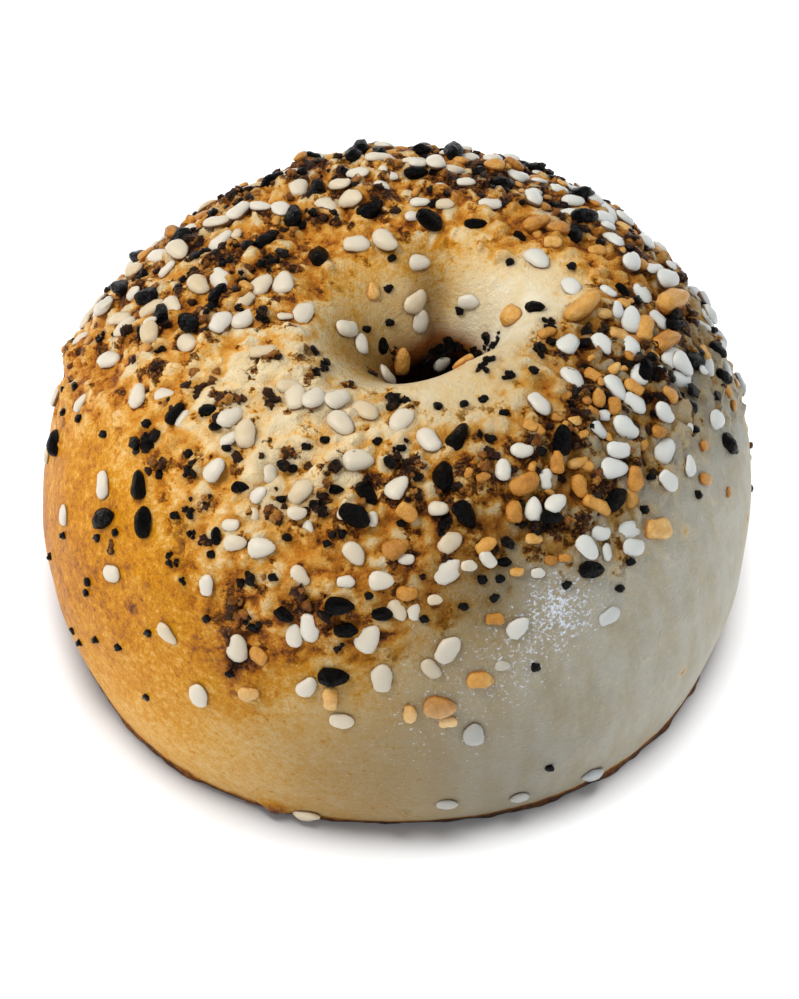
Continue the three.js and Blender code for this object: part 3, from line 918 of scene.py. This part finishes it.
BLACK_STOPS = [(0.35, 3, 3, 4), (0.6, 7, 7, 8), (0.8, 26, 26, 30)]
tree, shader = material("black_skin", black_seeds)
colour = ramp(grain(tree, 1.0, 4, 0.6), BLACK_STOPS)
shade(shader, colour, roughness=0.17, specular=0.1, bumps=(grain(tree, 0.7, 4, 0.6), 1.0, 2.0))
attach(black_seeds, "root")

# ---- Poppy seeds ----
# Round blue-black grains about a millimetre across, with a pitted skin. They are so light and round
# that some rolled on to the bare dough too, and stuck there.


def chunk(number, uneven, cuts):
    """A lump about 2 across, with uneven sides and some of them cut flat."""
    bm = bmesh.new()
    bmesh.ops.create_icosphere(bm, subdivisions=2, radius=1)
    planes = []
    for _ in range(cuts):
        planes.append((Vector([draws.gauss(0, 1) for _ in range(3)]).normalized(), draws.uniform(0.5, 0.8)))
    for vert in bm.verts:
        vert.co *= 1 + uneven * noise.noise(vert.co * 1.9 + Vector((7 * number, 0, 0)))
        for normal, reach in planes:
            vert.co -= max(0, vert.co.dot(normal) - reach) * normal
    return shape_of(bm)


POPPY = {"short": 0.9, "long": 1.3, "slim": 0.82, "thick": 0.75, "sunk": 0.36, "browns": 0.2}
POPPY_SEEN = [
    (116, 533), (98, 538), (64, 535), (175, 516), (159, 475), (207, 619), (149, 633), (96, 639), (104, 435),
    (79, 419), (64, 413), (147, 697), (287, 537), (273, 578), (341, 534), (327, 544), (293, 469),
    (325, 440), (306, 447), (437, 407), (464, 405), (484, 400), (504, 413), (401, 524), (481, 580),
    (500, 579), (495, 598), (463, 606), (424, 619), (534, 667), (549, 767), (567, 585), (619, 588),
    (695, 430), (697, 495), (392, 259), (389, 289), (366, 329), (389, 323), (459, 311), (510, 263),
    (572, 267), (230, 673), (119, 647), (88, 582), (87, 593), (189, 454), (227, 448), (212, 555),
    (240, 583), (369, 596), (378, 442), (401, 448), (651, 477), (643, 510), (630, 562), (147, 424),
    (281, 499), (494, 346), (533, 371), (44, 558), (70, 632), (80, 642),
]
POPPY_WIDE, POPPY_TALL = 11, 9  # pixels
POPPY_BEHIND = 45
STRAYED = 0.06
LOWEST_STUCK = 9 * MM

laid = [read(POPPY, x, y, POPPY_WIDE, POPPY_TALL) for x, y in POPPY_SEEN]
chances = areas * (strewn_faces + STRAYED) * behind * (centres[:, 2] > LOWEST_STUCK)
laid += scattered(POPPY_BEHIND, chances, POPPY, 0.1)
poppy_seeds = joined("poppy_seeds", [chunk(i, 0.5, 2) for i in range(5)], laid)

POPPY_STOPS = [(0.3, 6, 6, 7), (0.7, 16, 15, 17)]
tree, shader = material("poppy_skin", poppy_seeds)
colour = ramp(grain(tree, 0.4, 2), POPPY_STOPS)
shade(shader, colour, roughness=0.3, specular=0.1, bumps=(grain(tree, 0.4, 3, 0.6), 1.0, 0.6))
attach(poppy_seeds, "root")

# ---- Golden onion bits ----
# Dried onion and garlic that toasted evenly: smooth, blunt golden granules and a few longer slices,
# strewn with the seeds and half sunk in the crust.

GOLDEN = {"short": 1.1, "long": 4.2, "slim": 0.6, "thick": 0.46, "sunk": 0.36, "browns": 0.25}
GOLDEN_SEEN = [
    (249, 693, 17, 17), (331, 697, 13, 21), (440, 706, 36, 18), (410, 713, 12, 16), (448, 721, 20, 10),
    (480, 679, 27, 18), (407, 593, 22, 14), (495, 619, 19, 12), (396, 548, 30, 17, 1),
    (524, 484, 33, 18, 1), (514, 512, 12, 24), (557, 463, 18, 20), (634, 479, 19, 24), (657, 529, 24, 16),
    (659, 432, 13, 13), (704, 479, 10, 8), (728, 492, 8, 10), (534, 539, 16, 14), (551, 560, 14, 10),
    (565, 558, 12, 10), (513, 316, 18, 13), (603, 314, 13, 13), (553, 243, 18, 12), (400, 361, 20, 26),
    (373, 292, 11, 19), (644, 330, 18, 22), (598, 398, 14, 18),
]
# The longer slices.
GOLDEN_SLICES = [
    (583, 308, 38, 32, 1), (672, 303, 30, 15, 1), (665, 343, 28, 16, 1), (577, 463, 24, 7, 1),
    (596, 506, 30, 16, -1), (537, 224, 30, 10, 1), (557, 462, 10, 22), (547, 334, 18, 9, 1),
]
GOLDEN_STREWN = 150

laid = [read(GOLDEN, *spot) for spot in GOLDEN_SEEN]
laid += [read(dict(GOLDEN, slim=0.42, long=5.4), *spot) for spot in GOLDEN_SLICES]
small_golden = dict(GOLDEN, short=1.0, long=3.0)
to_right = 0.12 + smooth(centres[:, 0], 0, 20 * MM) + 0.8 * behind
laid += scattered(GOLDEN_STREWN, areas * strewn_faces**2 * to_right, small_golden, -0.1)
golden_shapes = [
    drop(0.2, 0.15, 2.6, 2.6, 0.14, 2), drop(0.1, -0.15, 3.2, 2.2, 0.12), drop(0.3, 0.1, 2.2, 2.8, 0.16, 2),
    drop(0.0, 0.25, 2.8, 2.4, 0.1), drop(0.15, -0.05, 3.6, 3.0, 0.12, 2), drop(0.25, -0.2, 2.4, 2.4, 0.16),
]
onion_golden = joined("onion_golden", golden_shapes, laid)

GOLDEN_STOPS = [(0.0, 228, 188, 120), (0.3, 209, 154, 72), (0.6, 192, 130, 46), (1.0, 136, 84, 27)]
tree, shader = material("golden_skin", onion_golden)
tone = 1.5 * grain(tree, 1.2, 4, 0.65) + attribute(tree, "tone")
colour = ramp(0.6 * tone - 0.3, GOLDEN_STOPS)
# Those low on the side, out of the oven's heat, stayed pale.
pale = 0.75 * between(axis(tree, "Z"), 31 * MM, 21 * MM)
colour = mixed(pale, colour, srgb(245, 222, 172))
# A brown line low on each too, partly crust baked on and partly painted contact shade.
baked_on = 0.7 * between(attribute(tree, "above"), 0.25, -0.15)
colour = mixed(baked_on, colour, srgb(194, 136, 74), "MULTIPLY")
shade(shader, colour, roughness=0.3, specular=0.35, bumps=(grain(tree, 0.7, 4, 0.6), 0.8, 0.5))
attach(onion_golden, "root")

# ---- Brown crumbs ----
# Finer onion and garlic crumbs, baked brown. They lie singly and in heaps in the gaps between the
# seeds on the crown, and stuck there as the dough's skin set.

BROWN = {"short": 0.5, "long": 1.6, "slim": 0.72, "thick": 0.62, "sunk": 0.42, "browns": 0.5}
# Heaps of them: x, y, width, height.
BROWN_SEEN = [
    (275, 512, 20, 26), (413, 490, 16, 16), (300, 593, 24, 30), (237, 612, 20, 34), (227, 397, 26, 28),
    (273, 400, 20, 20), (290, 452, 16, 16), (207, 503, 18, 16), (207, 542, 16, 14), (307, 527, 16, 14),
    (158, 468, 28, 28), (213, 277, 18, 28), (165, 397, 12, 12), (280, 497, 18, 14), (413, 465, 26, 16),
    (372, 372, 20, 14), (350, 386, 18, 12), (393, 353, 14, 16), (487, 457, 26, 20), (112, 548, 18, 10),
]
BROWN_IN_HEAP = 10
HEAP_PIXELS = 20  # of its size, for each millimetre of reach
BROWN_STREWN = 240
BROWN_CLUMPS, BROWN_IN_CLUMP = 50, 7
CLEAR = 0.42  # of a crumb's length, from whole toppings

whole_toppings = list(spots)


def clump(place, reach, count, kind):
    """Crumbs baked together in a heap, that many, round a place, where no whole topping lies."""
    heap = []
    for _ in range(count):
        aside = Vector([draws.gauss(0, 0.5 * reach) * MM for _ in range(3)])
        on_crust = crust_tree.find_nearest(place + aside)[0]
        length = min(max(draws.uniform(0.7, 1.5) * reach, kind["short"]), kind["long"])
        own = CLEAR * length * MM
        if any((on_crust - other).length < radius + own for other, radius, _ in whole_toppings):
            continue
        size = (length, length * kind["slim"] * draws.uniform(0.8, 1.2), length * kind["thick"])
        along_it = Vector([draws.gauss(0, 1) for _ in range(3)])
        heap.append(lying(on_crust, way_out(on_crust), along_it, size, kind, draws.uniform(-0.4, 0.4)))
    return heap


laid = scattered(BROWN_STREWN, areas * crumby_faces, BROWN, -0.1)
for x, y, wide, tall in BROWN_SEEN:
    laid += clump(seen(x, y, crust_tree), math.sqrt(wide * tall) / HEAP_PIXELS, BROWN_IN_HEAP, BROWN)
clump_chances = list(np.cumsum(areas * (strewn_faces**2 + crumby_faces)))
for _ in range(BROWN_CLUMPS):
    face = draws.choices(range(len(clump_chances)), cum_weights=clump_chances)[0]
    laid += clump(Vector(centres[face]), draws.uniform(0.8, 1.8), BROWN_IN_CLUMP, BROWN)
onion_brown = joined("onion_brown", [chunk(i, 0.9, 2) for i in range(10, 20)], laid)

BROWN_STOPS = [(0.0, 220, 158, 76), (0.25, 160, 98, 38), (0.5, 66, 38, 19), (1.0, 20, 13, 10)]
tree, shader = material("brown_skin", onion_brown)
tone = 0.7 * grain(tree, 0.8, 3, 0.6) + attribute(tree, "tone")
colour = ramp(0.8 * tone - 0.2, BROWN_STOPS)
shade(shader, colour, roughness=0.3, specular=0.2, bumps=(grain(tree, 0.4, 4, 0.65), 1.0, 0.8))
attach(onion_brown, "root")

# ---- Burnt bits ----
# Onion that caught in the oven: black, brittle, angular clumps of a few pieces each, baked fast to
# the crust and standing out of it.

BURNT = {"short": 0.6, "long": 2.1, "slim": 0.78, "thick": 0.65, "sunk": 0.32, "browns": 0.8}
BURNT_SEEN = [
    (249, 624, 22, 18), (400, 402, 32, 26), (445, 525, 22, 18), (552, 518, 40, 22), (550, 327, 22, 14),
    (540, 350, 25, 20), (507, 377, 16, 18), (478, 355, 22, 16), (489, 344, 20, 16), (498, 340, 12, 10),
    (482, 369, 16, 12), (491, 361, 16, 12), (451, 346, 28, 20), (324, 364, 16, 14), (318, 373, 14, 12),
    (319, 509, 22, 16), (534, 167, 24, 24), (261, 263, 16, 14), (243, 277, 18, 20), (226, 263, 12, 14),
    (212, 306, 22, 12), (237, 309, 12, 10), (262, 315, 16, 18), (238, 189, 22, 12), (162, 351, 10, 16),
    (103, 337, 22, 14), (139, 333, 10, 12), (147, 444, 28, 24), (191, 473, 20, 16), (190, 509, 18, 14),
    (211, 214, 20, 14), (340, 647, 14, 12), (395, 452, 12, 8), (468, 352, 14, 12), (345, 172, 14, 10),
    (640, 363, 14, 26), (570, 400, 14, 10), (590, 370, 20, 18), (520, 520, 16, 14), (490, 440, 16, 12),
    (438, 352, 20, 18), (425, 362, 16, 12), (455, 360, 18, 10), (560, 475, 18, 14), (600, 400, 14, 20),
    (645, 400, 14, 16), (620, 365, 12, 18), (171, 562, 12, 16), (183, 581, 7, 7), (192, 534, 8, 14),
]
BURNT_IN_CLUMP = 7
WITHIN_REACH = 0.85
BURNT_STREWN = 130

laid = []
for x, y, wide, tall in BURNT_SEEN:
    heart = seen(x, y, crust_tree)
    reach = math.sqrt(wide * tall) / 2 * (heart - camera.location).length / MM / FOCAL
    laid += clump(heart, WITHIN_REACH * reach, BURNT_IN_CLUMP, BURNT)
laid += scattered(BURNT_STREWN, areas * crumby_faces, BURNT, -0.1)
onion_burnt = joined("onion_burnt", [chunk(i, 0.6, 2) for i in range(20, 30)], laid)

BURNT_STOPS = [(0.5, 5, 4, 4), (0.74, 14, 10, 8), (0.9, 70, 40, 20)]
tree, shader = material("burnt_skin", onion_burnt)
tone = 0.3 * attribute(tree, "tone") + grain(tree, 0.6, 4, 0.6)
colour = ramp(tone, BURNT_STOPS)
shade(shader, colour, roughness=0.13, specular=0.17, bumps=(grain(tree, 0.45, 4, 0.65), 1.0, 1.2))
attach(onion_burnt, "root")

# ---- Browning and painted shade round the toppings ----
# The crust is darker close round everything that lies on it: partly browning, where sugar and fat from
# the onion bits soaked in, most where they burnt, and partly painted contact shade.

STAIN_REACH = 1.1 * MM
stain = np.zeros(len(form))
for place, radius, browns in spots:
    for point, i, distance in crust_points.find_range(place, radius + STAIN_REACH):
        near = min(1, (radius + STAIN_REACH - distance) / STAIN_REACH)
        stain[i] = max(stain[i], browns * near**2)
paint(crust_mesh, stain=stain * (0.3 + 0.7 * np.clip(strewn * 1.2, 0, 1)))  # least on bare dough
